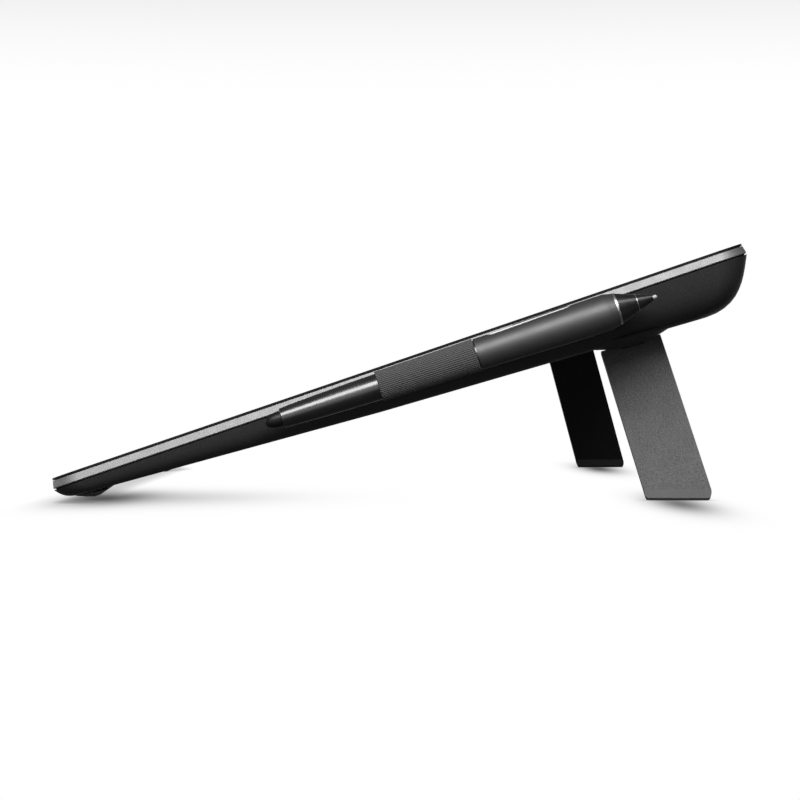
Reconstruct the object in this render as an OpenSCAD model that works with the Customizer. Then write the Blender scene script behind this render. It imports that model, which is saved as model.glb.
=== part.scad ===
// Pen drawing tablet with a built-in display, on two fold-out legs, with its pen in a fabric loop at the side.
// Millimetres. +X is to the user's right, +Y from the user to the rear, +Z up. The desk is z = 0 and the
// origin is midway between the flats on which the two front rubber feet meet the desk.
// Most sub-parts are drawn flat, in the display's own frame: z = 0 is the top of the glass and y = 0 the
// front edge. stand() then tips them back onto the legs.

/* [Tablet] */
// Width across the display
tablet_w = 422; // [416:1:428]
// Depth from the front edge to the rear edge
tablet_d = 285; // [283:1:288]
// Corner radius seen from above
corner_r = 12; // [10:1:14]
// Depth of the underside below the glass at the front edge
front_depth = 8.8; // [8.7:0.1:9.0]
// Angle between the glass and the front part of the underside
front_wedge_deg = 3.54; // [3.4:0.02:3.7]
// Angle between the glass and the rear part of the underside
wedge_deg = 2.64; // [2.5:0.02:2.8]
// Wall thickness of the rear cover
wall = 2.0; // [1.9:0.1:2.1]

/* [Stand] */
// Angle of the glass above the desk
tilt_deg = 18.7; // [17:0.1:20]
// Outward splay of an open leg from square to the underside
splay_deg = 16; // [12:1:18]
// Width of a leg at its foot
leg_w = 25.4; // [24:0.2:26]
// Thickness of a leg
leg_t = 4.5; // [4.3:0.1:4.6]
// Distance from the side edge to a leg's hinge
hinge_inset = 40; // [38:1:44]
// Height of the rubber foot on a leg
foot_h = 4.3; // [3.5:0.1:5]

/* [Pen] */
// Length of the pen
pen_len = 157; // [155:0.5:158]
// Largest radius of the rubber grip
grip_r = 7.05; // [6.9:0.05:7.4]
// Width of the fabric loop
loop_w = 39; // [36:1:41]

/* [Hidden] */
$fn = 48;

// Heights in the display's frame, all measured down from the top of the glass
panel_z = -0.9;          // underside of the glass
frame_top_z = -1.1;      // top of the front frame, under the tape
frame_edge_z = -3.8;     // widest line of the front frame
frame_low_z = -4.2;      // bottom of the front frame
cover_top_z = -4.6;      // top edge of the rear cover, below the shadow gap
frame_plate_z = -2.3;    // underside of the frame's plate
post_z = -8.0;           // lower end of the frame's screw posts
seat_z = -9.3;           // where the cover's screw heads seat
chassis_z = -8.5;        // underside of the chassis plate
board_z = -11.6;         // underside of the boards
foot_y0 = 3.2;           // front rubber feet: front edge of their desk flats
foot_y1 = 7.2;           // and rear edge
foot_z0 = -10.7;         // height of the flat's front edge
foot_mid = [(foot_y0 + foot_y1) / 2, foot_z0 - (foot_y1 - foot_y0) / 2 * tan(tilt_deg)];

// The front rubber feet in section: the inner end, which stands on the desk, and the outer end
foot_a_section = [[foot_y0, -8.05], [foot_y0, foot_z0],
    [foot_y1, foot_z0 - (foot_y1 - foot_y0) * tan(tilt_deg)], [8.2, -11.9], [10.0, -10.4], [10.2, -9.0]];
foot_b_section = [[4.9, -8.3], [4.9, -9.3], [5.6, -9.55], [16.9, -10.75], [19.4, -10.15], [19.4, -9.65]];

bend_y = 130;            // where the underside's slope changes
// The side profile of the cover's edge: share of the inset and share of the depth, on a Bezier curve
front_bilge = 8.1;       // width of the curved edge at the front
rear_bilge = 19.8;       // and at the rear
edge_p1 = [0.17, 0.42];
edge_p2 = [0.35, 1];
low_corner_r = 14;

half_w = tablet_w / 2;
mid_y = tablet_d / 2;
hinge_x = half_w - hinge_inset;
leg_y = 233.5;           // middle of a leg along the display
leg_taper = 0.35;        // how much narrower each edge of a leg is at the hinge
lean_deg = tilt_deg - wedge_deg;   // slope of the hinge axes above the desk

pin_r = 1.25;
knuckle_r = 3.2;
knuckle_half = 8.5;      // half the length of a leg's knuckle
ear_in = 8.9;            // hinge ears, from the middle of the leg
ear_out = 10.3;
pocket_gap = 0.4;        // gap round a folded leg
root_a = 4.4;            // where the leg's plate starts, from the hinge axis
axis_h = foot_height(leg_y, under_z(leg_y)) + leg_t / 2 * cos(lean_deg);
leg_a = axis_h / cos(splay_deg) / cos(lean_deg);   // hinge axis to the desk, along the leg
toe_slope = tan(lean_deg) / cos(splay_deg);        // how the leg's end follows the desk, across its width
foot_a = foot_h / cos(splay_deg) / cos(lean_deg);
toe_r = 4;
sole_h = 0.9;            // dark sole under the rubber foot

pod_r = 44.6;            // radius of the swelling over a hinge
pod_drop = 2.6;          // how far it stands below the underside
pod_len = 12;
port_half = 17.5;        // half width of the cable recess
port_y = 228.4;          // front wall of the cable recess
port_roof_z = -10.5;
socket_half = 11.5;
window = [346, 196];     // the display's visible area
module_size = [352, 204];
cover_screw_spots = [for (s = [-1, 1]) each [[s * (half_w - 23), 28], [s * 62, 28],
    [s * (half_w - 20), mid_y], [s * 95, 256]]];
chassis_screw_spots = [for (s = [-1, 1], y = [60, 215]) [s * 182.5, y]];
main_board_size = [150, 70];
main_board_y = 165;
board_screw_spots = [for (s = [-1, 1], t = [-1, 1]) [s * 70, main_board_y + t * 30]];
button_x = 150;
slot_y = 152.5;          // middle of the pen loop's slot
slot_z = -7.55;
lock_y = 235;
lock_z = -9.3;

pen_x = half_w + 8;      // pen axis, across
nib_y = 244.5;           // nib tip in the display's frame
nib_z = -8.8;
pen_rise_deg = 0.8;      // the tail lies slightly higher than the nib
ring_z = 15.6;           // chrome ring, from the nib tip
grip_z0 = 16.4;
grip_z1 = 72;
tail_z = pen_len - 6.5;  // end of the barrel
core_r = 5.1;            // barrel under the grip
loop_z = 92;             // middle of the loop
loop_skin = 0.55;
loop_r1 = 5.80;          // loop's inner radius at its rear end
loop_r2 = 5.30;          // and at its front end
switch_z0 = 33.2;
switch_z1 = 56.4;
switch_half = 1.7;
bezel_z0 = 32.2;
bezel_z1 = 66.6;
bezel_half = 2.5;

cover_color = "#2b2b2c";
frame_color = "#8d8e90";
steel_color = "#a9abad";
board_color = "#1f4a35";
rubber_color = "#3a3a3b";

function under_z(y) = -front_depth - min(y, bend_y) * tan(front_wedge_deg)
    - max(0, y - bend_y) * tan(wedge_deg);
function foot_height(y, z) = (y - foot_mid.x) * sin(tilt_deg) + (z - foot_mid.y) * cos(tilt_deg);
function bezier(a, b, c, d, t) = pow(1 - t, 3) * a + 3 * pow(1 - t, 2) * t * b + 3 * (1 - t) * t * t * c
    + t * t * t * d;
function quarter(c, r, from, n) = [for (i = [0:n]) c + r * [cos(from + 90 * i / n), sin(from + 90 * i / n)]];
// Four corner arcs of n steps, front pair at f and rear pair at b, with the points of side between them
function corners(f, b, r, side, n) = concat(quarter(f, r, -90, n), side, quarter(b, r, 0, n),
    quarter([-b.x, b.y], r, 90, n), [for (p = side) [-p.x, p.y]], quarter([-f.x, f.y], r, 180, n));
// The outline seen from above, inset by o
function top_outline(o, n, side = []) = let (x = half_w - corner_r)
    corners([x, corner_r], [x, tablet_d - corner_r], corner_r - o, side, n);
function low_outline(o, n) = let (r = low_corner_r, f = [half_w - o - front_bilge - r, o + front_bilge + r],
    b = [half_w - o - rear_bilge - r, tablet_d - o - rear_bilge - r])
    corners(f, b, r, [[f.x + r + (b.x - f.x) * (bend_y - f.y) / (b.y - f.y), bend_y]], n);
// One level of the cover's edge at share t of the Bezier curve, for a skin o thinner than the outside
function edge_ring(o, t, n) = let (e = bezier([0, 0], edge_p1, edge_p2, [1, 1], t),
    top = top_outline(o, n, [[half_w - o, bend_y]]), low = low_outline(o, n))
    [for (i = [0:len(top) - 1]) let (p = top[i] + (low[i] - top[i]) * e.x)
    [p.x, p.y, cover_top_z + (under_z(low[i].y) + o - cover_top_z) * e.y]];
// A fillet of radius r at corner b of the path a, b, c
function fillet(a, b, c, r, n) = let (u = (a - b) / norm(a - b), v = (c - b) / norm(c - b),
    h = acos(u * v) / 2, m = b + (u + v) / norm(u + v) * r / sin(h),
    s = b + u * r / tan(h) - m, e = b + v * r / tan(h) - m, turn = atan2(s.x * e.y - s.y * e.x, s * e))
    [for (i = [0:n]) let (g = turn * i / n) m + [s.x * cos(g) - s.y * sin(g), s.x * sin(g) + s.y * cos(g)]];
// Outer radius of the rubber grip at z from the nib tip: a quick swell, then a long waist
function grip_radius(z) = z < 20 ? grip_r - (20 - z) / 3.6 * 0.8
    : 6.12 + (grip_r - 6.12) * pow(cos(min(90, (z - 20) * 1.75)), 1.4);
function barrel_radius(z) = 5.65 - (z - grip_z1) * 0.0132 - pow(max(0, z - 110), 2) * 0.000466;

// From the display's frame to the desk's: tips the tablet back, with the rubber foot's flat on the desk
module stand() rotate([tilt_deg, 0, 0]) translate([0, -foot_mid.x, -foot_mid.y]) children();
// A frame on the underside at (x, y): its y runs along the underside and its z into the body
module at_underside(x, y) translate([x, y, under_z(y)])
    rotate([y < bend_y ? -front_wedge_deg : -wedge_deg, 0, 0]) children();
// The pen's frame: z from the nib tip to the tail, y up from the glass and x away from the tablet
module at_pen() translate([pen_x, nib_y, nib_z]) rotate([90 - pen_rise_deg, 0, 0]) children();
// The open right leg's frame: x from the hinge to the foot, y along the hinge, z out of the outer face
module at_leg() at_underside(hinge_x, leg_y) translate([0, 0, leg_t / 2]) rotate([0, 90 - splay_deg, 0])
    children();
module both_sides() {
    children();
    mirror([1, 0, 0]) children();
}
module box(lo, hi) translate(lo) cube(hi - lo);
module rounded(w, d, r) {
    square([w - 2 * r, d], center = true);
    square([w, d - 2 * r], center = true);
    for (s = [-1, 1], t = [-1, 1]) translate([s * (w / 2 - r), t * (d / 2 - r)]) circle(r);
}
module plate(w, d, h, r, y = mid_y, z = 0, x = 0) translate([x, y, z]) linear_extrude(h) rounded(w, d, r);
module along_x(x0, x1) translate([x0, 0, 0]) rotate([90, 0, 90]) linear_extrude(x1 - x0) children();
// A stack of outlines with equal point counts, as one closed solid. The last face is creased from point a to b.
module loft(rings, a = 0, b = 0) {
    n = len(rings[0]);
    last = len(rings) - 1;
    polyhedron([for (r = rings) each r], concat([[for (i = [n - 1:-1:0]) i]],
        [for (k = [0:last - 1], i = [0:n - 1]) let (p = k * n + i, q = k * n + (i + 1) % n)
            each [[p, q, p + n], [q, q + n, p + n]]],
        b == 0 ? [[for (i = [0:n - 1]) last * n + i]]
            : [[for (i = [a:b]) last * n + i], [for (i = [b:n + a]) last * n + i % n]]));
}
module cross_head(r, h) difference() {
    cylinder(r = r, h = h);
    for (a = [0, 90]) rotate(a) translate([0, 0, h * 0.2 - 0.01])
        cube([r * 1.2, r * 0.3, h * 0.4], center = true);
}
// A screw driven upwards: its head's open face down, at z = 0
module screw(head_r, head_h, shaft_r, shaft_len) {
    cross_head(head_r, head_h);
    translate([0, 0, head_h]) cylinder(r = shaft_r, h = shaft_len);
}

// ---- display stack ----
module front_panel() color("#141416") stand()
    plate(tablet_w - 1.5, tablet_d - 1.5, -panel_z, corner_r - 0.75, z = panel_z);
module panel_tape() color("#222222") stand() difference() {
    plate(tablet_w - 3, tablet_d - 3, panel_z - frame_top_z, corner_r - 1.5, z = frame_top_z);
    translate([0, mid_y, -5]) linear_extrude(10) square(window + [6, 6], center = true);
}
module frame_outside() loft([for (s = [[frame_top_z, 0.65], [frame_edge_z, 0], [frame_low_z, 0.4]])
    [for (p = top_outline(s[1], 10)) [p.x, p.y, s[0]]]]);
module frame_posts() {
    for (p = cover_screw_spots) translate([p.x, p.y, post_z])
        cylinder(r = 2.7, h = frame_plate_z - post_z + 0.1);
    for (p = chassis_screw_spots) translate([p.x, p.y, chassis_z + 1])
        cylinder(r = 2.3, h = frame_plate_z - chassis_z - 0.9);
}
module front_frame() color(frame_color) stand() difference() {
    union() {
        difference() {
            frame_outside();
            plate(tablet_w - 5.2, tablet_d - 5.2, 4, corner_r - 2.6, z = frame_plate_z - 4);
        }
        difference() {
            plate(tablet_w - 6.2, tablet_d - 6.2, frame_plate_z + 5.1 + 0.2, corner_r - 3.1, z = -5.1);
            plate(tablet_w - 8.3, tablet_d - 8.3, 9, corner_r - 4.15, z = -8);
        }
        frame_posts();
    }
    translate([0, mid_y, -5]) linear_extrude(10) square(window, center = true);
    for (p = concat(cover_screw_spots, chassis_screw_spots)) translate([p.x, p.y, -9])
        cylinder(r = 1.03, h = 5.2);
    box([button_x - 7, tablet_d - 11, -3.6], [button_x + 7, tablet_d + 5, -1.6]);
    translate([button_x + 12, tablet_d - 11, -2.7]) rotate([-90, 0, 0]) cylinder(r = 0.75, h = 20);
}
module lcd_panel() color("#20242a") stand() plate(module_size.x, module_size.y, 1.3, 1, z = -3.7);
module backlight_unit() color("#c8c9cb") stand() difference() {
    plate(module_size.x + 4, module_size.y + 4, 2.8, 1.5, z = -6.6);
    for (x = [-140:56:140]) translate([x, mid_y, -6.7]) linear_extrude(0.5) rounded(40, 150, 6);
}
module digitizer_board() color(board_color) stand()
    plate(module_size.x - 2, module_size.y - 4, 0.7, 1, z = -7.4);
module chassis_plate() color("#b9bbbd") stand() difference() {
    union() {
        plate(372, 205, 1, 3, y = 142.5, z = chassis_z);
        for (p = board_screw_spots) translate([p.x, p.y, -10]) cylinder(r = 2, h = 1.6);
    }
    for (p = chassis_screw_spots) translate([p.x, p.y, -9]) cylinder(r = 1.15, h = 5);
    for (p = board_screw_spots) translate([p.x, p.y, -11]) cylinder(r = 0.88, h = 5);
    for (x = [-150, 150]) translate([x, 110, -9]) linear_extrude(3) rounded(24, 90, 8);
}

// ---- electronics ----
module main_board() color(board_color) stand() difference() {
    plate(main_board_size.x, main_board_size.y, -10 - board_z, 2, y = main_board_y, z = board_z);
    for (p = board_screw_spots) translate([p.x, p.y, -12]) cylinder(r = 1.0, h = 5);
}
// Packages on the underside of the main board: x, y, width, depth, height
chips = [[-30, 170, 17, 17, 1.4], [4, 176, 12, 12, 1.1], [30, 168, 9, 14, 1.0], [-52, 150, 8, 8, 0.9],
    [50, 182, 7, 5, 1.2], [0, 150, 20, 6, 1.5], [-8, 192, 10, 4, 1.3], [36, 146, 6, 6, 1.4]];
module board_chips() color("#161617") stand() for (c = chips)
    box([c[0] - c[2] / 2, c[1] - c[3] / 2, board_z - c[4]], [c[0] + c[2] / 2, c[1] + c[3] / 2, board_z]);
module port_board() color(board_color) stand() box([-32, 203, board_z], [32, 225.8, -10.4]);
module port_socket() color(steel_color) stand() {
    difference() {
        box([-socket_half, 212, -17.4], [socket_half, 230, board_z]);
        box([-socket_half + 0.7, 214, -16.7], [socket_half - 0.7, 231, board_z - 0.7]);
    }
    box([-socket_half + 2.5, 213.9, -15.0], [socket_half - 2.5, 228, -14.0]);
}
module driver_board() color(board_color) stand() {
    box([90, 165, -10.1], [150, 195, chassis_z - 0.1]);
    for (x = [98, 112, 130]) box([x, 172, -12.3], [x + 8, 184, -10.1]);
}
module button_board() color(board_color) stand() {
    box([button_x - 10, tablet_d - 9.5, -9], [button_x + 18, tablet_d - 8.3, -2.6]);
    box([button_x - 3, tablet_d - 8.3, -4.6], [button_x + 3, tablet_d - 6.6, -2.6]);
    translate([button_x, tablet_d - 6.6, -3.2]) rotate([-90, 0, 0]) cylinder(r = 0.5, h = 1);
}
module power_led_pipe() color("#dfe7ee") stand() translate([button_x + 12, tablet_d - 8.2, -2.7])
    rotate([-90, 0, 0]) cylinder(r = 0.7, h = 8.0);
module flex_cables() color("#b5772a") stand() {
    for (x = [[-62, -38], [40, 66]]) along_x(x[0], x[1]) polygon([[200.1, -10.2], [204, -8.9], [247.2, -8.9],
        [247.2, -3], [246.9, -3], [246.9, -8.6], [204, -8.6], [200.1, -9.9]]);
    box([-20, 200.1, -11.2], [20, 202.9, -10.9]);
    along_x(button_x - 6, button_x + 2) polygon([[252, -9.3], [275.2, -9.3], [275.2, -4], [275.4, -4],
        [275.4, -9.5], [252, -9.5]]);
}
module chassis_screws() color(steel_color) stand() for (p = chassis_screw_spots)
    translate([p.x, p.y, chassis_z - 0.9]) screw(2.0, 0.9, 1.0, 4);
module board_screws() color(steel_color) stand() for (p = board_screw_spots)
    translate([p.x, p.y, board_z - 0.8]) screw(1.6, 0.8, 0.85, 2.6);
module cover_screws() color("#4a4b4d") stand() for (p = cover_screw_spots)
    translate([p.x, p.y, seat_z - 0.9]) screw(2.1, 0.9, 1.0, 4.4);

// ---- rear cover ----
module cover_outside() loft([for (i = [0:10]) edge_ring(0, i / 10, 8)], 9, 28);
module cover_inside() loft(concat([[for (p = edge_ring(wall, 0, 8)) [p.x, p.y, 0]]],
    [for (i = [0:6]) edge_ring(wall, i / 6, 8)]), 9, 28);
// A front foot's body on the right, grown by g
module foot_body(g) hull() {
    along_x(134 - g, 150) offset(delta = g) polygon([for (p = foot_a_section) p + [0, g > 0 ? 0 : 0.05]]);
    along_x(172, 184 + g) offset(delta = g) polygon(foot_b_section);
}
module hinge_pod() at_underside(hinge_x, leg_y) intersection() {
    translate([0, 0, pod_r - pod_drop]) {
        rotate([0, 90, 0]) cylinder(r = pod_r, h = pod_len);
        translate([pod_len, 0, 0]) sphere(pod_r);
    }
    box([0, -30, -4], [34, 30, wall * 0.8]);
}
// Walls of a leg's pocket, and the deeper box over its hinge
module pocket_walls() at_underside(hinge_x, leg_y) {
    box([-80, -leg_w / 2 - 2, 0.6], [5.4, leg_w / 2 + 2, 6.3]);
    box([-7.4, -leg_w / 2 - 2, 0.6], [5.4, leg_w / 2 + 2, 7.9]);
    for (s = [-1, 1]) translate([10.5, s * 7, 0.6]) cylinder(r = 2.5, h = 7.3);
}
module pocket_cut() {
    at_underside(hinge_x, leg_y) {
        translate([-78.2, 0, 0]) intersection() {
            translate([0, 0, -6]) linear_extrude(10.8) translate([39.1, 0])
                rounded(78.2, leg_w + 2 * pocket_gap, 3);
            box([0, -20, -6], [78.2, 20, 6]);
        }
        box([-6, -leg_w / 2 - pocket_gap, -6], [0.1, leg_w / 2 + pocket_gap, 4.8]);
        box([-5.6, -leg_w / 2 - pocket_gap, 0.9], [3.6, leg_w / 2 + pocket_gap, 6.3]);
        translate([0, 0, leg_t / 2]) rotate([90, 0, 0])
            cylinder(r = knuckle_r + 0.2, h = 2 * ear_out + 0.8, center = true);
        for (s = [-1, 1]) box([-3.5, s * 9.6 - 0.95, 6], [3.5, s * 9.6 + 0.95, 9]);
        for (s = [-1, 1]) translate([10.5, s * 7, 3]) cylinder(r = 0.83, h = 7.3);
        // finger scoop beside the foot
        translate([-62, -leg_w / 2 - 1, -9]) sphere(12.5);
    }
    at_leg() box([0, -leg_w / 2 - pocket_gap, -9], [14, leg_w / 2 + pocket_gap, leg_t / 2 + 0.06]);
}
module scoop_floor() at_underside(hinge_x, leg_y) intersection() {
    translate([-62, -leg_w / 2 - 1, -9]) sphere(14.5);
    box([-85, -30, 0.6], [-40, 0, 9]);
}
// Recess in the left pocket's roof for the spare nibs and their puller
module nib_recess(grow, z0, z1) at_underside(-hinge_x, leg_y) translate([34, 0, 0])
    box([-17 - grow, -8 - grow, z0], [17 + grow, 8 + grow, z1]);
module loop_slot() box([half_w - 9, slot_y - loop_w / 2 - 0.4, slot_z - 1.35],
    [half_w + 5, slot_y + loop_w / 2 + 0.4, slot_z + 1.35]);
module cover_screw_bosses() for (p = cover_screw_spots) translate([p.x, p.y, under_z(p.y) + wall / 2])
    cylinder(r = 3.6, h = post_z - 0.1 - under_z(p.y) - wall / 2);
module rear_cover() color(cover_color) stand() difference() {
    union() {
        difference() {
            union() {
                cover_outside();
                both_sides() hinge_pod();
            }
            cover_inside();
        }
        intersection() {
            union() {
                both_sides() {
                    pocket_walls();
                    scoop_floor();
                }
                nib_recess(1.4, 3, 8.8);
                cover_screw_bosses();
                box([-port_half - 1.8, port_y - 2, -30], [port_half + 1.8, tablet_d, port_roof_z + 1.8]);
            }
            cover_outside();
        }
    }
    both_sides() {
        pocket_cut();
        loop_slot();
    }
    nib_recess(0, 3, 7.4);
    for (p = cover_screw_spots) translate([p.x, p.y, -40]) {
        cylinder(r = 1.12, h = 40);
        cylinder(r = 2.4, h = 40 + seat_z);
    }
    box([-port_half, port_y, -40], [port_half, tablet_d + 5, port_roof_z]);
    box([-socket_half - 0.2, port_y - 8, -17.6], [socket_half + 0.2, port_y + 1, board_z + 0.2]);
    box([-half_w - 5, lock_y - 3.5, lock_z - 1.5], [-half_w + 9, lock_y + 3.5, lock_z + 1.5]);
    at_underside(0, 100) translate([0, 0, -0.01]) linear_extrude(0.36) rounded(80, 36, 2);
    both_sides() {
        foot_body(0.05);
        at_underside(hinge_x, leg_y) translate([9.2, 0, -1.0]) mirror([0, 0, 1]) cylinder(r = 4.6, h = 4);
    }
}
module front_feet() color(rubber_color) stand() both_sides() {
    foot_body(0);
    along_x(134, 150) polygon(foot_a_section);
}
module rear_pads() color(rubber_color) stand() both_sides() at_underside(hinge_x, leg_y)
    translate([9.2, 0, -1.05]) mirror([0, 0, 1]) cylinder(r = 4.5, h = 1.75);
module rating_label() color("#3d3e40") stand() at_underside(0, 100) translate([0, 0, 0.04])
    linear_extrude(0.3) rounded(79.4, 35.4, 1.8);
module lock_slot_plate() color(steel_color) stand() difference() {
    box([-half_w + 7.2, lock_y - 9, lock_z - 2.4], [-half_w + 8.2, lock_y + 9, lock_z + 3.1]);
    box([-half_w, lock_y - 3.5, lock_z - 1.5], [-half_w + 9, lock_y + 3.5, lock_z + 1.5]);
}

// ---- leg hinges, drawn on the right and mirrored for the left ----
module hinge_bracket() color(steel_color) stand() at_underside(hinge_x, leg_y) difference() {
    union() {
        box([-7, -13, 7.95], [14, 13, 9.15]);
        for (s = [-1, 1]) translate([0, s * (ear_in + ear_out) / 2, leg_t / 2]) rotate([90, 0, 0])
            translate([0, 0, -(ear_out - ear_in) / 2]) linear_extrude(ear_out - ear_in) {
                circle(knuckle_r);
                translate([-knuckle_r, 0]) square([2 * knuckle_r, 9 - leg_t / 2]);
            }
    }
    translate([0, 0, leg_t / 2]) rotate([90, 0, 0]) cylinder(r = pin_r + 0.01, h = 40, center = true);
    for (s = [-1, 1]) translate([10.5, s * 7, 0]) cylinder(r = 1.1, h = 12);
}
module hinge_pin() color("#d5d7d9") stand() at_underside(hinge_x, leg_y) translate([0, 0, leg_t / 2])
    rotate([90, 0, 0]) translate([0, 0, -12]) {
        cylinder(r = pin_r, h = 24);
        cylinder(r = 2.0, h = 1.2);
    }
module detent_spring() color("#8f9296") stand() at_underside(hinge_x, leg_y) rotate([90, 0, 0])
    translate([0, 0, -7]) linear_extrude(14) polygon([[-5.2, 5.9], [-1.5, 5.55], [1.5, 5.55], [3.3, 5.8],
        [3.3, 6.1], [1.4, 5.85], [-1.4, 5.85], [-5.2, 6.2]]);
module hinge_screws() color(steel_color) stand() both_sides() at_underside(hinge_x, leg_y)
    for (s = [-1, 1]) translate([10.5, s * 7, 10.1]) mirror([0, 0, 1]) screw(1.9, 0.9, 0.8, 5);
module right_hinge_bracket() hinge_bracket();
module left_hinge_bracket() mirror([1, 0, 0]) hinge_bracket();
module right_hinge_pin() hinge_pin();
module left_hinge_pin() mirror([1, 0, 0]) hinge_pin();
module right_detent_spring() detent_spring();
module left_detent_spring() mirror([1, 0, 0]) detent_spring();

// ---- legs ----
function leg_outline(a1) = let (h = leg_w / 2, r = h - leg_taper, root = [[root_a, -r], [root_a, r]],
    short = [a1 - toe_slope * h, -h], long = [a1 + toe_slope * h, h]) concat([root[0]],
    fillet(root[0], short, long, toe_r, 8), fillet(short, long, root[1], toe_r, 8), [root[1]]);
// The whole leg, rubber foot included: a tapering plate and the hinge knuckle
module leg_blank() at_leg() difference() {
    union() {
        translate([0, 0, -leg_t / 2]) linear_extrude(leg_t) polygon(leg_outline(leg_a + 1.2));
        box([0, -knuckle_half, -leg_t / 2], [root_a + 1, knuckle_half, leg_t / 2]);
        rotate([90, 0, 0]) cylinder(r = knuckle_r, h = 2 * knuckle_half, center = true);
    }
    rotate([90, 0, 0]) cylinder(r = pin_r + 0.05, h = 40, center = true);
}
module tongue(grow) at_leg() translate([0, 0, -0.8 - grow]) linear_extrude(1.6 + 2 * grow)
    polygon([for (p = [[-3, -9], [1.5, -9], [1.5, 9], [-3, 9]]) [leg_a - foot_a + p.x + toe_slope * p.y
        + (p.x < 0 ? -grow : 0), p.y + sign(p.y) * grow]]);
module above_desk(z0, z1) box([-400, -100, z0], [400, 500, z1]);
module leg() color(cover_color) difference() {
    intersection() {
        stand() leg_blank();
        above_desk(foot_h, 200);
    }
    stand() tongue(0.05);
}
module leg_foot() color("#6b6c6d") {
    intersection() {
        stand() leg_blank();
        above_desk(sole_h, foot_h);
    }
    intersection() {
        stand() tongue(0);
        above_desk(foot_h / 2, 200);
    }
}
module leg_sole() color("#1c1c1d") intersection() {
    stand() leg_blank();
    above_desk(0, sole_h);
}
module right_leg() leg();
module left_leg() mirror([1, 0, 0]) leg();
module right_leg_foot() leg_foot();
module left_leg_foot() mirror([1, 0, 0]) leg_foot();
module right_leg_sole() leg_sole();
module left_leg_sole() mirror([1, 0, 0]) leg_sole();

// ---- small parts ----
module spare_nibs() color("#d8d8d6") stand() at_underside(-hinge_x, leg_y) for (i = [-1:1])
    translate([19, i * 3 - 3.2, 6.4]) rotate([0, 90, 0]) {
        cylinder(r = 0.8, h = 13);
        translate([0, 0, 13]) sphere(0.8);
    }
module nib_puller() color("#c9cbcd") stand() at_underside(-hinge_x, leg_y) translate([43.5, 2, 5.5])
    difference() {
        cylinder(r = 5, h = 1.6);
        translate([0, 0, -1]) cylinder(r = 2.6, h = 4);
        box([2, -0.4, -1], [6, 0.4, 4]);
    }
module power_button() color("#6f7072") stand() translate([button_x, tablet_d, -2.6]) {
    rotate([90, 0, 0]) translate([0, 0, -0.5]) linear_extrude(4.9) rounded(13.4, 1.6, 0.75);
    box([-2.4, -5.0, -1.4], [2.4, -4.3, 0.7]);
}
module loop_anchor() color("#1d1d1e") stand() {
    box([half_w - 8, slot_y - loop_w / 2, slot_z - 1.15],
        [half_w - 1.7, slot_y + loop_w / 2, slot_z + 1.15]);
    box([half_w - 9.4, slot_y - loop_w / 2 - 1.5, slot_z - 2.2],
        [half_w - 8, slot_y + loop_w / 2 + 1.5, slot_z + 2.2]);
}
module pen_loop() color("#343436") stand() at_pen() translate([0, 0, loop_z - loop_w / 2])
    difference() {
        union() {
            cylinder(r1 = loop_r1 + loop_skin, r2 = loop_r2 + loop_skin, h = loop_w);
            box([-9.5, -0.85, 0], [-loop_r2, 0.85, loop_w]);
        }
        translate([0, 0, -0.01]) cylinder(r1 = loop_r1, r2 = loop_r2, h = loop_w + 0.02);
    }

// ---- pen ----
module turned(points) rotate_extrude() polygon(points);
module at_pen_place() stand() at_pen() children();
module switch_opening(grow, z0, z1) translate([0, 0, z0 - grow]) rotate([-90, 0, 0])
    translate([0, -(z1 - z0) / 2 - grow, 0]) linear_extrude(12)
    rounded(2 * (bezel_half + grow), z1 - z0 + 2 * grow, bezel_half + grow - 0.01);
module pen_grip() color("#2f2f30") at_pen_place() difference() {
    turned(concat([[core_r + 0.05, grip_z0]], [for (z = [grip_z0 + 0.02:0.7:20]) [grip_radius(z), z]],
        [for (z = [20.5:1.7:grip_z1]) [grip_radius(z), z]],
        [[grip_radius(grip_z1), grip_z1], [core_r + 0.05, grip_z1]]));
    switch_opening(0.05, bezel_z0, bezel_z1);
}
module pen_barrel() color("#3b3b3c") at_pen_place() difference() {
    turned(concat([[0, 20.2], [core_r, 20.2], [core_r, grip_z1 + 0.05]],
        [for (z = [grip_z1 + 0.05:4.2:tail_z - 0.5]) [barrel_radius(z), z]],
        [[barrel_radius(tail_z) - 0.05, tail_z - 0.3], [barrel_radius(tail_z) - 0.35, tail_z],
        [0, tail_z]]));
    translate([0, 0, 20]) cylinder(r = 3.9, h = 90);
    translate([0, 0, 109.9]) cylinder(r = 3.0, h = 27);
    translate([0, 0, 130]) cylinder(r = 1.7, h = 30);
    translate([0, 0, tail_z - 5]) cylinder(r = 3.1, h = 10);
    translate([0, 4, switch_z0 - 0.35])
        box([-switch_half - 0.2, -6, 0], [switch_half + 0.2, 6, switch_z1 - switch_z0 + 0.7]);
}
module pen_nose() color("#262627") at_pen_place() turned([[1.05, 8.05], [3.3, 8.05], [6.1, ring_z],
    [4.7, ring_z], [4.7, 20], [2.5, 20], [2.5, 9.6], [1.05, 9.6]]);
module pen_nose_tip() color("#222223") at_pen_place()
    turned([[0.86, 1.8], [1.2, 1.8], [3.25, 8.0], [0.86, 8.0]]);
module pen_ring() color("#d9dadc") at_pen_place() turned([[4.75, ring_z + 0.02], [6.2, ring_z + 0.02],
    [6.3, ring_z + 0.4], [6.2, grip_z0 - 0.02], [4.75, grip_z0 - 0.02]]);
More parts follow.
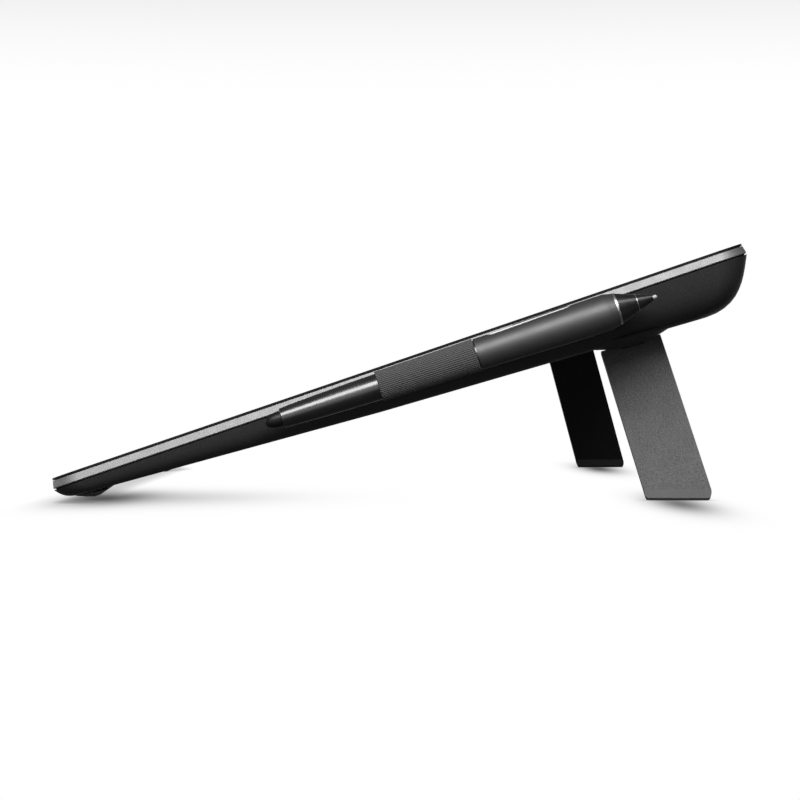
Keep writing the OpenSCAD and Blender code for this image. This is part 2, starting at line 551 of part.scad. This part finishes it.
module pen_switch_bezel() color("#b9babc") at_pen_place() difference() {
    intersection() {
        switch_opening(0, bezel_z0, bezel_z1);
        translate([0, 0, bezel_z0 - 1]) cylinder(r1 = 7.1, r2 = 6.35, h = bezel_z1 - bezel_z0 + 2);
    }
    cylinder(r = core_r + 0.05, h = 80);
    translate([0, 0, switch_z0 - 0.2])
        box([-switch_half - 0.2, 0, 0], [switch_half + 0.2, 12, switch_z1 - switch_z0 + 0.4]);
    intersection() {
        switch_opening(-0.6, bezel_z0, bezel_z1);
        translate([0, 0, switch_z1 - 1]) difference() {
            cylinder(r = 9, h = 20);
            cylinder(r = 6.0, h = 20);
        }
    }
}
// A rocker with a shallow valley between its two ends
module pen_switch() color("#5b5c5e") at_pen_place() rotate([0, 90, 0]) translate([0, 0, -switch_half])
    linear_extrude(2 * switch_half) polygon([for (p = [[switch_z0, 4.7], [switch_z0, 6.75],
        [switch_z0 + 0.8, 7.05], [40.3, 7.0], [41, 6.75], [41.7, 6.95], [switch_z1 - 0.8, 6.7],
        [switch_z1, 6.4], [switch_z1, 4.7]]) [-p.x, p.y]]);
module pen_board() color(board_color) at_pen_place() {
    box([-3, -0.6, 28], [3, 0.4, 104]);
    box([-1.5, 0.4, 34.5], [1.5, 2.2, 38.5]);
    box([-1.5, 0.4, 51], [1.5, 2.2, 55]);
    box([-2, -1.9, 62], [2, -0.6, 68]);
}
module pen_coil() color("#a8632c") at_pen_place() turned([[1.1, 9.8], [2.4, 9.8], [2.4, 18.6], [1.1, 18.6]]);
module pen_load_cell() color("#77797c") at_pen_place()
    turned([[0, 20.4], [3.6, 20.4], [3.6, 27.6], [0, 27.6]]);
module pen_eraser_sensor() color("#77797c") at_pen_place()
    turned([[0, 124], [2.7, 124], [2.7, 129.6], [0, 129.6]]);
module pen_nib() color("#cfcfcd") at_pen_place() turned(concat([[0, 0]], [for (a = [20:14:90])
    [0.7 * sin(a), 0.7 - 0.7 * cos(a)]], [[0.74, 3], [0.76, 19.8], [0, 19.8]]));
module pen_eraser() color("#2a2a2b") at_pen_place() turned(concat([[0, 131.2], [1.5, 131.2],
    [1.5, tail_z - 3.8], [3.0, tail_z - 3.8], [3.0, tail_z + 0.9]],
    [for (a = [9:9:81]) [3.0 * pow(cos(a), 0.8), tail_z + 0.9 + (pen_len - tail_z - 0.9) * sin(a)]],
    [[0, pen_len]]));

front_panel();
panel_tape();
front_frame();
rear_cover();
lcd_panel();
backlight_unit();
digitizer_board();
chassis_plate();
main_board();
board_chips();
port_board();
port_socket();
driver_board();
button_board();
power_led_pipe();
flex_cables();
chassis_screws();
board_screws();
cover_screws();
front_feet();
rear_pads();
rating_label();
lock_slot_plate();
right_hinge_bracket();
left_hinge_bracket();
right_hinge_pin();
left_hinge_pin();
right_detent_spring();
left_detent_spring();
hinge_screws();
spare_nibs();
nib_puller();
loop_anchor();
pen_loop();
power_button();
right_leg();
right_leg_foot();
right_leg_sole();
left_leg();
left_leg_foot();
left_leg_sole();
pen_barrel();
pen_grip();
pen_nose();
pen_nose_tip();
pen_ring();
pen_switch_bezel();
pen_board();
pen_coil();
pen_load_cell();
pen_eraser_sensor();
pen_nib();
pen_switch();
pen_eraser();
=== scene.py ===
"""The pen display tablet as the photo shows it: seen from its right side, standing on its legs, on a pale floor."""

import math

import bmesh
import bpy
from mathutils import Matrix, Vector


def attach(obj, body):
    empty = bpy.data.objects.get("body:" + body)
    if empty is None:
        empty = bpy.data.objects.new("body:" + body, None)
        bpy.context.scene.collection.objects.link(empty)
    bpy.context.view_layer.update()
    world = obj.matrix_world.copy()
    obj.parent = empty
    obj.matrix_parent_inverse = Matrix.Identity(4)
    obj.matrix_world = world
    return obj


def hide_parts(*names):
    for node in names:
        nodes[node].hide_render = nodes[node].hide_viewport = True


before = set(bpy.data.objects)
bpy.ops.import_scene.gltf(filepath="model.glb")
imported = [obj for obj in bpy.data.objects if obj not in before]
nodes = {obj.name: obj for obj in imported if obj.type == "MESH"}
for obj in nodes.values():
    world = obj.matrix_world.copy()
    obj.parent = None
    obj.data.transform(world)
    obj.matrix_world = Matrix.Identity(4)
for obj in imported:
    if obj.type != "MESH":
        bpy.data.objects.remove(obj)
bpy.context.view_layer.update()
scene = bpy.context.scene


def rot(degrees, axis):
    return Matrix.Rotation(math.radians(degrees), 4, axis)


# Frames as in the CAD, in metres. The display's: z = 0 is the glass, y = 0 the front edge.
# The pen's: z from the nib tip to the tail, y up from the glass and x away from the tablet.
TILT = 18.7
STAND = rot(TILT, "X") @ Matrix.Translation((0, -0.0052, 0.0107 + 0.002 * math.tan(math.radians(TILT))))
PEN = STAND @ Matrix.Translation((0.219, 0.2445, -0.0088)) @ rot(89.2, "X")

# The woven loop: its ends along the pen, the pen's radius under each, its thickness and its ribs
LOOP_Z0, LOOP_Z1 = 0.0725, 0.1115
LOOP_R0, LOOP_R1 = 0.00580, 0.00530
LOOP_THICK = 0.00044
RIBS = 48

# Half the display's width and depth, and its middle along y
SCREEN_X, SCREEN_Y, SCREEN_MIDDLE = 0.173, 0.098, 0.1425

# Depth, middle and radii of each painted soft shadow on the floor: the front foot with its tail, and the two legs
PAINTED_SHADOWS = [(0.75, 0.165, 0.0105, 0.060, 0.0155), (0.44, 0.162, 0.015, 0.066, 0.055),
           (0.80, 0.217, 0.2345, 0.074, 0.0112), (0.88, -0.167, 0.2345, 0.078, 0.0112)]
# The painted shadows stop short of the space in front of the tablet: they fade out between these two places along y
PAINTED_SHADOW_START, PAINTED_SHADOW_FULL = -0.019, -0.004


# ---- materials ----
class Mat:
    """A node material built in steps: every input is a socket or a constant."""

    def __init__(self, name, **values):
        self.m = bpy.data.materials.new(name)
        self.m.use_nodes = True
        self.t = self.m.node_tree
        self.b = next(n for n in self.t.nodes if n.type == "BSDF_PRINCIPLED")
        for k, v in values.items():
            self.b.inputs[k.replace("_", " ")].default_value = v

    def node(self, kind, **props):
        n = self.t.nodes.new(kind)
        for k, v in props.items():
            setattr(n, k, v)
        return n

    def link(self, a, b):
        self.t.links.new(a, b)

    def coords(self, place=None):
        """Object coordinates, in the frame that the matrix place puts in the row frame."""
        c = self.node("ShaderNodeTexCoord").outputs["Object"]
        if place is not None:
            back = place.inverted()
            m = self.node("ShaderNodeMapping")
            m.inputs["Rotation"].default_value = back.to_euler()
            m.inputs["Location"].default_value = back.translation
            self.link(c, m.inputs["Vector"])
            c = m.outputs["Vector"]
        return c

    def math(self, op, *values):
        n = self.node("ShaderNodeMath", operation=op)
        for i, v in enumerate(values):
            if isinstance(v, (int, float)):
                n.inputs[i].default_value = v
            else:
                self.link(v, n.inputs[i])
        return n.outputs[0]

    def axes(self, vector):
        n = self.node("ShaderNodeSeparateXYZ")
        self.link(vector, n.inputs[0])
        return n.outputs

    def facing(self, direction):
        """How far the surface faces a direction of the row frame, from -1 to 1."""
        n = self.node("ShaderNodeVectorMath", operation="DOT_PRODUCT")
        self.link(self.node("ShaderNodeTexCoord").outputs["Normal"], n.inputs[0])
        n.inputs[1].default_value = direction
        return n.outputs["Value"]

    def outward(self):
        """How far the surface faces away from the tablet's middle plane, on either side. The legs and feet paint their
        inward faces darker with it, as shade.
        """
        x, _, _ = self.axes(self.coords())
        return self.math("MULTIPLY", self.math("SIGN", x), self.facing((1, 0, 0)))

    def noise(self, scale, detail=2, rough=0.5):
        n = self.node("ShaderNodeTexNoise")
        n.inputs["Scale"].default_value = scale
        n.inputs["Detail"].default_value = detail
        n.inputs["Roughness"].default_value = rough
        self.link(self.coords(), n.inputs["Vector"])
        return n.outputs["Fac"]

    def grain(self, scale):
        """Small round pits, as of a spark-eroded mould."""
        n = self.node("ShaderNodeTexVoronoi")
        n.inputs["Scale"].default_value = scale
        self.link(self.coords(), n.inputs["Vector"])
        return n.outputs["Distance"]

    def ramp(self, fac, low, high, a, b):
        """fac between low and high becomes a value or colour between a and b."""
        r = self.node("ShaderNodeMapRange")
        r.inputs["From Min"].default_value = low
        r.inputs["From Max"].default_value = high
        self.link(fac, r.inputs["Value"])
        if not hasattr(a, "__len__"):
            r.inputs["To Min"].default_value = a
            r.inputs["To Max"].default_value = b
            return r.outputs["Result"]
        return self.mix(r.outputs["Result"], a, b)

    def mix(self, fac, a, b):
        n = self.node("ShaderNodeMix", data_type="RGBA")
        for value, i in ((fac, 0), (a, 6), (b, 7)):
            if hasattr(value, "__len__"):
                n.inputs[i].default_value = (*value[:3], 1)
            elif isinstance(value, (int, float)):
                n.inputs[i].default_value = value
            else:
                self.link(value, n.inputs[i])
        return n.outputs[2]

    def color(self, socket):
        self.link(socket, self.b.inputs["Base Color"])
        return self

    def rough(self, socket):
        self.link(socket, self.b.inputs["Roughness"])
        return self

    def bump(self, height, strength, distance):
        n = self.node("ShaderNodeBump")
        n.inputs["Strength"].default_value = strength
        n.inputs["Distance"].default_value = distance
        self.link(height, n.inputs["Height"])
        self.link(n.outputs["Normal"], self.b.inputs["Normal"])
        return self


def g(v):
    """A neutral grey."""
    return (v, v, v)


def grained(name, dark, light, scale, roughness, bump=0.0, metallic=0.0, spec=0.5, coat=0.0):
    """A plastic, rubber or metal with a fine speckle in its colour and its roughness."""
    m = Mat(name, Metallic=metallic, Specular_IOR_Level=spec, Coat_Weight=coat)
    n = m.noise(scale, 3, 0.6)
    m.color(m.ramp(n, 0.3, 0.7, dark, light))
    m.rough(m.ramp(m.noise(scale / 9, 2), 0.3, 0.7, roughness - 0.04, roughness + 0.04))
    if bump:
        m.bump(n, bump, 0.0004)
    return m.m


def glass():
    """Black-bordered etched glass. The display behind it is a shade lighter than the border."""
    m = Mat("glass", Specular_IOR_Level=0.12)
    x, y, _ = m.axes(m.coords(STAND))
    inside = m.math("MINIMUM", m.math("SUBTRACT", SCREEN_X, m.math("ABSOLUTE", x)),
                    m.math("SUBTRACT", SCREEN_Y, m.math("ABSOLUTE", m.math("SUBTRACT", y, SCREEN_MIDDLE))))
    border = m.ramp(m.noise(700, 2), 0.3, 0.7, g(0.0050), g(0.0062))
    screen = m.ramp(m.noise(60, 3), 0.3, 0.7, (0.0125, 0.0135, 0.0150), (0.0145, 0.0155, 0.0172))
    m.color(m.mix(m.ramp(inside, -0.0001, 0.0002, 0.0, 1.0), border, screen))
    m.rough(m.ramp(m.noise(900, 2), 0.3, 0.7, 0.34, 0.40))
    return m.bump(m.noise(5200, 2), 0.05, 0.0001).m


def silver():
    """Satin silver paint: a fine metal flake and a faint, slow drift in its tone."""
    m = Mat("silver", Metallic=0.60, Specular_IOR_Level=0.4)
    flake = m.noise(3800, 2, 0.7)
    drift = m.noise(14, 3, 0.5)
    m.color(m.mix(m.ramp(drift, 0.3, 0.7, 0.0, 0.3), m.ramp(flake, 0.3, 0.7, g(0.125), g(0.225)), g(0.16)))
    m.rough(m.ramp(m.noise(260, 3), 0.3, 0.7, 0.48, 0.54))
    return m.bump(flake, 0.06, 0.0002).m


def cover():
    """Fine-grained near-black moulded plastic, rubbed a little smoother in places."""
    m = Mat("cover", Specular_IOR_Level=0.12)
    cells = m.grain(1900)
    m.color(m.ramp(cells, 0.05, 0.75, g(0.0230), g(0.0350)))
    m.rough(m.ramp(m.noise(35, 4), 0.3, 0.7, 0.50, 0.58))
    return m.bump(cells, 0.14, 0.0002).m


def leg():
    """The outer face is light grey with a spark-eroded grain; the inner face and edges are painted near black, as
    shade, by the way they face.
    """
    m = Mat("leg", Specular_IOR_Level=0.12)
    out = m.outward()
    speck = m.noise(1900, 4, 0.75)
    outer = m.ramp(speck, 0.34, 0.66, g(0.034), g(0.100))
    inner_painted_shade = m.ramp(speck, 0.3, 0.7, g(0.004), g(0.006))
    # Painted shade: faces turned towards the tablet's middle get the near-black copy.
    m.color(m.mix(m.ramp(out, 0.45, 0.8, 0.0, 1.0), inner_painted_shade, outer))
    m.rough(m.ramp(m.noise(120, 3), 0.3, 0.7, 0.50, 0.60))
    return m.bump(speck, 0.16, 0.0003).m


def foot():
    """Grey rubber cap; its inner side is painted dark, as shade, by the way it faces."""
    m = Mat("foot", Specular_IOR_Level=0.3)
    out = m.outward()
    n = m.noise(1800, 3, 0.6)
    # Painted shade: the side turned towards the tablet's middle gets the dark copy of the rubber.
    m.color(m.mix(m.ramp(out, 0.1, 0.5, 0.0, 1.0), m.ramp(n, 0.3, 0.7, g(0.012), g(0.016)),
                  m.ramp(n, 0.3, 0.7, g(0.062), g(0.068))))
    m.rough(m.ramp(m.noise(160, 3), 0.3, 0.7, 0.66, 0.74))
    return m.bump(n, 0.03, 0.0003).m


def grip():
    """Soft-touch rubber."""
    m = Mat("grip", Specular_IOR_Level=0.8)
    n = m.noise(3400, 3, 0.6)
    m.color(m.ramp(n, 0.3, 0.7, g(0.014), g(0.019)))
    m.rough(m.ramp(m.noise(160, 3), 0.3, 0.7, 0.47, 0.53))
    return m.bump(n, 0.05, 0.0002).m


def fabric():
    """Ribbed elastic: the ribs along the pen are in the mesh; a fine twill runs across them."""
    m = Mat("woven_elastic", Specular_IOR_Level=0.15, Sheen_Weight=0.04, Sheen_Roughness=0.4)
    x, y, z = m.axes(m.coords())
    around = m.math("MULTIPLY", m.math("ARCTAN2", y, x), 0.0056)
    rib = m.math("COSINE", m.math("MULTIPLY", m.math("ARCTAN2", y, x), RIBS))
    slant = m.math("ADD", z, m.math("MULTIPLY", around, 0.8))
    twill = m.math("SINE", m.math("MULTIPLY", slant, 2 * math.pi / 0.00074))
    thread = m.math("ADD", m.math("MULTIPLY", rib, 0.6), m.math("MULTIPLY", twill, 0.4))
    fibre = m.noise(5200, 2, 0.6)
    height = m.math("ADD", thread, m.math("MULTIPLY", m.math("SUBTRACT", fibre, 0.5), 0.5))
    # The colour follows the weave's height, darker in the grooves and lighter on the raised threads: painted shade in
    # the grooves, with a random fibre tone.
    m.color(m.ramp(height, -0.8, 0.9, g(0.006), g(0.098)))
    m.rough(m.ramp(fibre, 0.3, 0.7, 0.62, 0.74))
    return m.bump(height, 0.6, 0.00022).m


MATS = {
    "glass": glass(),
    "silver": silver(),
    "cover": cover(),
    "leg": leg(),
    "foot": foot(),
    "sole": grained("sole", g(0.006), g(0.009), 1500, 0.8, 0.05, spec=0.15),
    "rubber": grained("rubber", g(0.0035), g(0.005), 1500, 0.75, 0.05, spec=0.06),
    "grip": grip(),
    "gloss": grained("gloss", g(0.004), g(0.006), 900, 0.30, spec=0.9, coat=0.3),
    "nose": grained("nose", g(0.004), g(0.006), 2000, 0.32, spec=0.6),
    "chrome": grained("chrome", g(0.66), g(0.72), 900, 0.28, 0, 1.0),
    "steel": grained("steel", g(0.42), g(0.50), 1500, 0.32, 0.02, 1.0),
    "white": grained("white", g(0.72), g(0.78), 1500, 0.4),
    "nib": grained("nib", g(0.30), g(0.36), 1500, 0.4),
    "eraser": grained("eraser", g(0.003), g(0.004), 2000, 0.45, spec=0.25),
    "bezel": grained("bezel", g(0.84), g(0.88), 900, 0.42, 0, 0.7),
    "button": grained("button", g(0.30), g(0.36), 2600, 0.34, 0.04, 0.9),
    "switch": grained("switch", g(0.035), g(0.045), 1500, 0.30, 0, 0.3),
    "board": grained("board", (0.01, 0.06, 0.035), (0.015, 0.09, 0.05), 700, 0.4),
    "chip": grained("chip", g(0.015), g(0.02), 1500, 0.5),
    "amber": grained("amber", (0.30, 0.11, 0.02), (0.38, 0.15, 0.03), 900, 0.35),
    "copper": grained("copper", (0.55, 0.22, 0.10), (0.65, 0.28, 0.13), 1500, 0.3, 0, 1.0),
    "label": grained("label", g(0.030), g(0.036), 1500, 0.45),
    "module": grained("module", g(0.03), g(0.04), 900, 0.3),
    "backlight": grained("backlight", g(0.55), g(0.62), 900, 0.45),
    "tape": grained("tape", g(0.008), g(0.011), 900, 0.8),
    "pipe": grained("pipe", g(0.75), g(0.8), 900, 0.2),
    "fabric": fabric(),
}
USES = {
    "glass": ["front_panel"],
    "silver": ["front_frame"],
    "cover": ["rear_cover", "loop_anchor"],
    "leg": ["right_leg", "left_leg"],
    "foot": ["right_leg_foot", "left_leg_foot"],
    "sole": ["right_leg_sole", "left_leg_sole"],
    "rubber": ["front_feet", "rear_pads"],
    "grip": ["pen_grip"],
    "gloss": ["pen_barrel"],
    "nose": ["pen_nose", "pen_nose_tip"],
    "eraser": ["pen_eraser"],
    "bezel": ["pen_switch_bezel"],
    "chrome": ["pen_ring", "right_hinge_pin", "left_hinge_pin"],
    "steel": ["port_socket", "chassis_plate", "chassis_screws", "board_screws", "cover_screws", "hinge_screws",
              "lock_slot_plate", "right_hinge_bracket", "left_hinge_bracket", "right_detent_spring",
              "left_detent_spring", "nib_puller", "pen_load_cell", "pen_eraser_sensor"],
    "white": ["spare_nibs"],
    "nib": ["pen_nib"],
    "button": ["power_button"],
    "switch": ["pen_switch"],
    "board": ["digitizer_board", "main_board", "port_board", "driver_board", "button_board", "pen_board"],
    "chip": ["board_chips"],
    "amber": ["flex_cables"],
    "copper": ["pen_coil"],
    "label": ["rating_label"],
    "module": ["lcd_panel"],
    "backlight": ["backlight_unit"],
    "tape": ["panel_tape"],
    "pipe": ["power_led_pipe"],
    "fabric": ["pen_loop"],
}
for name, members in USES.items():
    for n in members:
        nodes[n].data.materials.clear()
        nodes[n].data.materials.append(MATS[name])


def soft_normals(degrees):
    """A modifier's nodes that shade a mesh smooth, except over edges sharper than that."""
    t = bpy.data.node_groups.new(f"soft_{degrees}", "GeometryNodeTree")
    t.is_modifier = True
    t.interface.new_socket("Geometry", in_out="INPUT", socket_type="NodeSocketGeometry")
    t.interface.new_socket("Geometry", in_out="OUTPUT", socket_type="NodeSocketGeometry")
    last = t.nodes.new("NodeGroupInput").outputs[0]

    def then(kind, **values):
        nonlocal last
        n = t.nodes.new(kind)
        for k, v in values.items():
            if hasattr(n, k):
                setattr(n, k, v)
            else:
                n.inputs[k.replace("_", " ")].default_value = v
        t.links.new(last, n.inputs["Geometry"] if "Geometry" in n.inputs else n.inputs["Mesh"])
        last = n.outputs["Geometry"] if "Geometry" in n.outputs else n.outputs["Mesh"]
        return n

    then("GeometryNodeMergeByDistance", Distance=1e-6)
    then("GeometryNodeRemoveAttribute", Name="custom_normal")
    then("GeometryNodeRemoveAttribute", Name="sharp_edge")
    then("GeometryNodeSetShadeSmooth", domain="FACE", Shade_Smooth=True)
    edges = then("GeometryNodeSetShadeSmooth", domain="EDGE", Shade_Smooth=False)
    over = t.nodes.new("FunctionNodeCompare")
    over.operation = "GREATER_THAN"
    t.links.new(t.nodes.new("GeometryNodeInputMeshEdgeAngle").outputs["Unsigned Angle"], over.inputs[0])
    over.inputs[1].default_value = math.radians(degrees)
    t.links.new(over.outputs[0], edges.inputs["Selection"])
    t.links.new(last, t.nodes.new("NodeGroupOutput").inputs[0])
    return t


SOFT = soft_normals(24)
for n in ("front_frame", "rear_cover", "front_panel", "pen_grip", "pen_barrel", "pen_nose", "pen_nose_tip", "pen_ring",
          "pen_eraser", "pen_nib", "pen_switch", "pen_switch_bezel", "right_leg", "left_leg", "right_leg_foot",
          "left_leg_foot", "right_leg_sole", "left_leg_sole", "front_feet", "rear_pads"):
    nodes[n].modifiers.new("soft", "NODES").node_group = SOFT


def add_object(name, bm, place, material, smooth):
    """Turn a finished bmesh into a linked object, in the frame that the matrix place puts in the row frame."""
    bmesh.ops.recalc_face_normals(bm, faces=bm.faces)
    mesh = bpy.data.meshes.new(name)
    bm.to_mesh(mesh)
    bm.free()
    for p in mesh.polygons:
        p.use_smooth = smooth
    mesh.materials.append(material)
    o = bpy.data.objects.new(name, mesh)
    o.matrix_world = place
    scene.collection.objects.link(o)
    return o


def plain_object(name, points, faces, material):
    """A linked object from points and faces in the row frame."""
    mesh = bpy.data.meshes.new(name)
    mesh.from_pydata(points, [], faces)
    mesh.materials.append(material)
    o = bpy.data.objects.new(name, mesh)
    scene.collection.objects.link(o)
    return o


# ---- the woven loop that holds the pen ----
def loop_path(share):
    """The band's middle line round the pen, from one end of its tab to the other.

    Each point has its outward direction and the height of the ribs there, from -1 to 1.
    """
    r = LOOP_R0 + (LOOP_R1 - LOOP_R0) * share + 0.00030
    lead = math.radians(17)
    tab_x, tab_y, tab_steps = 0.0092, 0.00034, 6
    tab = []
    for k in range(tab_steps):
        t = k / tab_steps
        ease = t * t * (3 - 2 * t)
        tab.append((t * (tab_x - r * math.cos(lead)) - tab_x, tab_y + (r * math.sin(lead) - tab_y) * ease, 0, 1, 0))
    turn = []
    steps = RIBS * 4
    for k in range(steps + 1):
        a = math.pi - lead - (2 * math.pi - 2 * lead) * k / steps
        turn.append((r * math.cos(a), r * math.sin(a), math.cos(a), math.sin(a), math.cos(a * RIBS)))
    return tab + turn + [(x, -y, nx, -ny, 0) for x, y, nx, ny, _ in reversed(tab)]


def woven_loop():
    """The ribbed band: its two long edges are a little raised, and each rib stands out by rib_height."""
    rows, hem_height, rib_height = 61, 0.00012, 0.00004
    bm = bmesh.new()
    grid = []
    for i in range(rows):
        share = i / (rows - 1)
        hem = hem_height * math.exp(-min(i, rows - 1 - i) / 2.0)
        z = LOOP_Z0 + (LOOP_Z1 - LOOP_Z0) * share
        line = []
        for x, y, nx, ny, rib in loop_path(share):
            out = hem * (nx > -0.9) + rib * rib_height
            line.append(bm.verts.new((x + nx * out, y + ny * out, z)))
        grid.append(line)
    for a, b in zip(grid, grid[1:]):
        for k in range(len(a) - 1):
            bm.faces.new((a[k], b[k], b[k + 1], a[k + 1]))
    o = add_object("woven_loop", bm, PEN, MATS["fabric"], smooth=True)
    thick = o.modifiers.new("thickness", "SOLIDIFY")
    thick.thickness = LOOP_THICK
    thick.offset = 0
    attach(o, "tablet")
    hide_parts("pen_loop")


woven_loop()


# ---- a dark bead in the seam between the frame and the rear cover, painted shade for the seam's shadow ----
def seam_shade_bead():
    """A dark bead round the display, a little behind its edge, standing in as painted shade for the seam's shadow and
    closing the gap: inset and height of each line along it, in millimetres.
    """
    section = [(2.9, -4.62), (1.15, -4.62), (0.95, -4.5), (0.9, -4.4), (0.95, -4.3), (1.15, -4.18), (2.9, -4.18)]
    corner, steps = 12.0, 14
    side, front, rear = 199, 12, 273
    bm = bmesh.new()
    loops = []
    for inset, z in section:
        loop = []
        for cx, cy, first in ((side, front, -90), (side, rear, 0), (-side, rear, 90), (-side, front, 180)):
            for k in range(steps + 1):
                a = math.radians(first + 90 * k / steps)
                r = corner - inset
                loop.append(bm.verts.new(Vector((cx + r * math.cos(a), cy + r * math.sin(a), z)) / 1000))
        loops.append(loop)
    for a, b in zip(loops, loops[1:] + loops[:1]):
        for k in range(len(a)):
            j = (k + 1) % len(a)
            bm.faces.new((a[k], a[j], b[j], b[k]))
    o = add_object("seam_shade_bead", bm, STAND, MATS["rubber"], smooth=False)
    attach(o, "tablet")


seam_shade_bead()


# ---- the thin bright line round the pen's nose ----
def nose_line():
    """A half-sunk wire where the nose's two parts meet, in the pen's frame."""
    z0, r0, wire, around, across = 0.00805, 0.00330, 0.00013, 96, 12
    bm = bmesh.new()
    loops = []
    for i in range(around):
        a = 2 * math.pi * i / around
        loop = []
        for k in range(across):
            b = 2 * math.pi * k / across
            r = r0 + wire * math.cos(b)
            loop.append(bm.verts.new((r * math.cos(a), r * math.sin(a), z0 + wire * math.sin(b))))
        loops.append(loop)
    for a, b in zip(loops, loops[1:] + loops[:1]):
        for k in range(across):
            j = (k + 1) % across
            bm.faces.new((a[k], b[k], b[j], a[j]))
    o = add_object("nose_line", bm, PEN, MATS["chrome"], smooth=True)
    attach(o, "pen")


nose_line()


# ---- floor, light and camera ----
def floor():
    """A glowing white sweep, with painted soft shadows where the front and the two legs stand and painted contact
    shade where things come near it.
    """
    m = Mat("floor")
    m.t.nodes.remove(m.b)
    # Painted contact shade: the glow dims where the occlusion node finds something within 5 mm.
    painted_contact_shade = m.node("ShaderNodeAmbientOcclusion", samples=12)
    painted_contact_shade.inputs["Distance"].default_value = 0.005
    value = m.ramp(painted_contact_shade.outputs["AO"], 0.0, 1.0, 0.45, 1.0)
    x, y, _ = m.axes(m.coords())
    # Painted soft shadows: each ellipse dims the floor's glow by its depth.
    for depth, cx, cy, rx, ry in PAINTED_SHADOWS:
        u = m.math("DIVIDE", m.math("SUBTRACT", x, cx), rx)
        v = m.math("DIVIDE", m.math("SUBTRACT", y, cy), ry)
        far = m.math("ADD", m.math("MULTIPLY", u, u), m.math("MULTIPLY", v, v))
        dark = m.math("MULTIPLY", m.math("EXPONENT", m.math("MULTIPLY", far, -1.0)), depth)
        dark = m.math("MULTIPLY", dark, m.ramp(y, PAINTED_SHADOW_START, PAINTED_SHADOW_FULL, 0.0, 1.0))
        value = m.math("MULTIPLY", value, m.math("SUBTRACT", 1.0, dark))
    light = m.node("ShaderNodeEmission")
    m.link(value, light.inputs["Strength"])
    light.inputs["Color"].default_value = (1, 1, 1, 1)
    m.link(light.outputs[0], next(n for n in m.t.nodes if n.type == "OUTPUT_MATERIAL").inputs["Surface"])
    half = 60
    o = plain_object("floor", [(-half, -half, 0), (half, -half, 0), (half, half, 0), (-half, half, 0)],
                     [(0, 1, 2, 3)], m.m)
    o.location = (0, 0, -0.0001)
    o.visible_diffuse = o.visible_glossy = o.visible_shadow = False


def sky():
    """White all round at eye level, dim overhead, and dark from below, where the floor is in the tablet's shade."""
    world = bpy.data.worlds.new("world")
    world.use_nodes = True
    t = world.node_tree
    back = t.nodes["Background"]
    axes = t.nodes.new("ShaderNodeSeparateXYZ")
    t.links.new(t.nodes.new("ShaderNodeTexCoord").outputs["Generated"], axes.inputs[0])
    both = t.nodes.new("ShaderNodeMath")
    both.operation = "MULTIPLY"
    below, above = (-0.42, -0.03, 0.05, 1.0), (0.12, 0.30, 1.0, 0.12)
    for i, values in enumerate((below, above)):
        part = t.nodes.new("ShaderNodeMapRange")
        part.interpolation_type = "SMOOTHSTEP"
        for k, v in zip(("From Min", "From Max", "To Min", "To Max"), values):
            part.inputs[k].default_value = v
        t.links.new(axes.outputs["Z"], part.inputs["Value"])
        t.links.new(part.outputs["Result"], both.inputs[i])
    t.links.new(both.outputs[0], back.inputs["Strength"])
    back.inputs["Color"].default_value = (1, 1, 1, 1)
    scene.world = world


def area(name, at, to, size, power):
    """A soft box at one point, turned to another."""
    data = bpy.data.lights.new(name, "AREA")
    data.shape = "RECTANGLE"
    data.size, data.size_y = size
    data.energy = power
    o = bpy.data.objects.new(name, data)
    o.location = at
    o.rotation_euler = (Vector(to) - Vector(at)).to_track_quat("-Z", "Y").to_euler()
    scene.collection.objects.link(o)


def flag(name, line, low, high):
    """A black card along a line on the floor, out of sight, that keeps the white surroundings off the corners."""
    m = Mat(name, Roughness=1.0, Specular_IOR_Level=0.0)
    m.color(m.ramp(m.noise(3), 0.3, 0.7, g(0.005), g(0.008)))
    n = len(line)
    o = plain_object(name, [(x, y, z) for z in (low, high) for x, y in line],
                     [(k, k + 1, k + 1 + n, k + n) for k in range(n - 1)], m.m)
    o.visible_camera = False


floor()
sky()
area("key", (1.17, -0.06, 0.78), (0.22, 0.10, 0.05), (1.50, 0.60), 32)
area("kicker", (0.75, 0.72, 1.06), (0.22, 0.23, 0.08), (0.34, 0.34), 3)
flag("flag_rear", ((-0.04, 0.46), (0.16, 0.41), (0.42, 0.37), (1.3, 0.62)), 0.02, 0.32)
flag("flag_front", ((0.16, -0.16), (0.42, -0.13), (1.3, -0.38)), 0.02, 0.11)

cam = bpy.data.cameras.new("camera")
cam.lens = 105.75
cam.sensor_width = 36
cam.shift_x, cam.shift_y = -0.0116, -0.0163
cam.clip_start = 0.01
camera = bpy.data.objects.new("camera", cam)
camera.location = (1.1149, 0.1313, 0.0447)
camera.rotation_euler = (math.radians(90), math.radians(0.12), math.radians(90))
scene.collection.objects.link(camera)
scene.camera = camera
scene.view_settings.view_transform = "Standard"
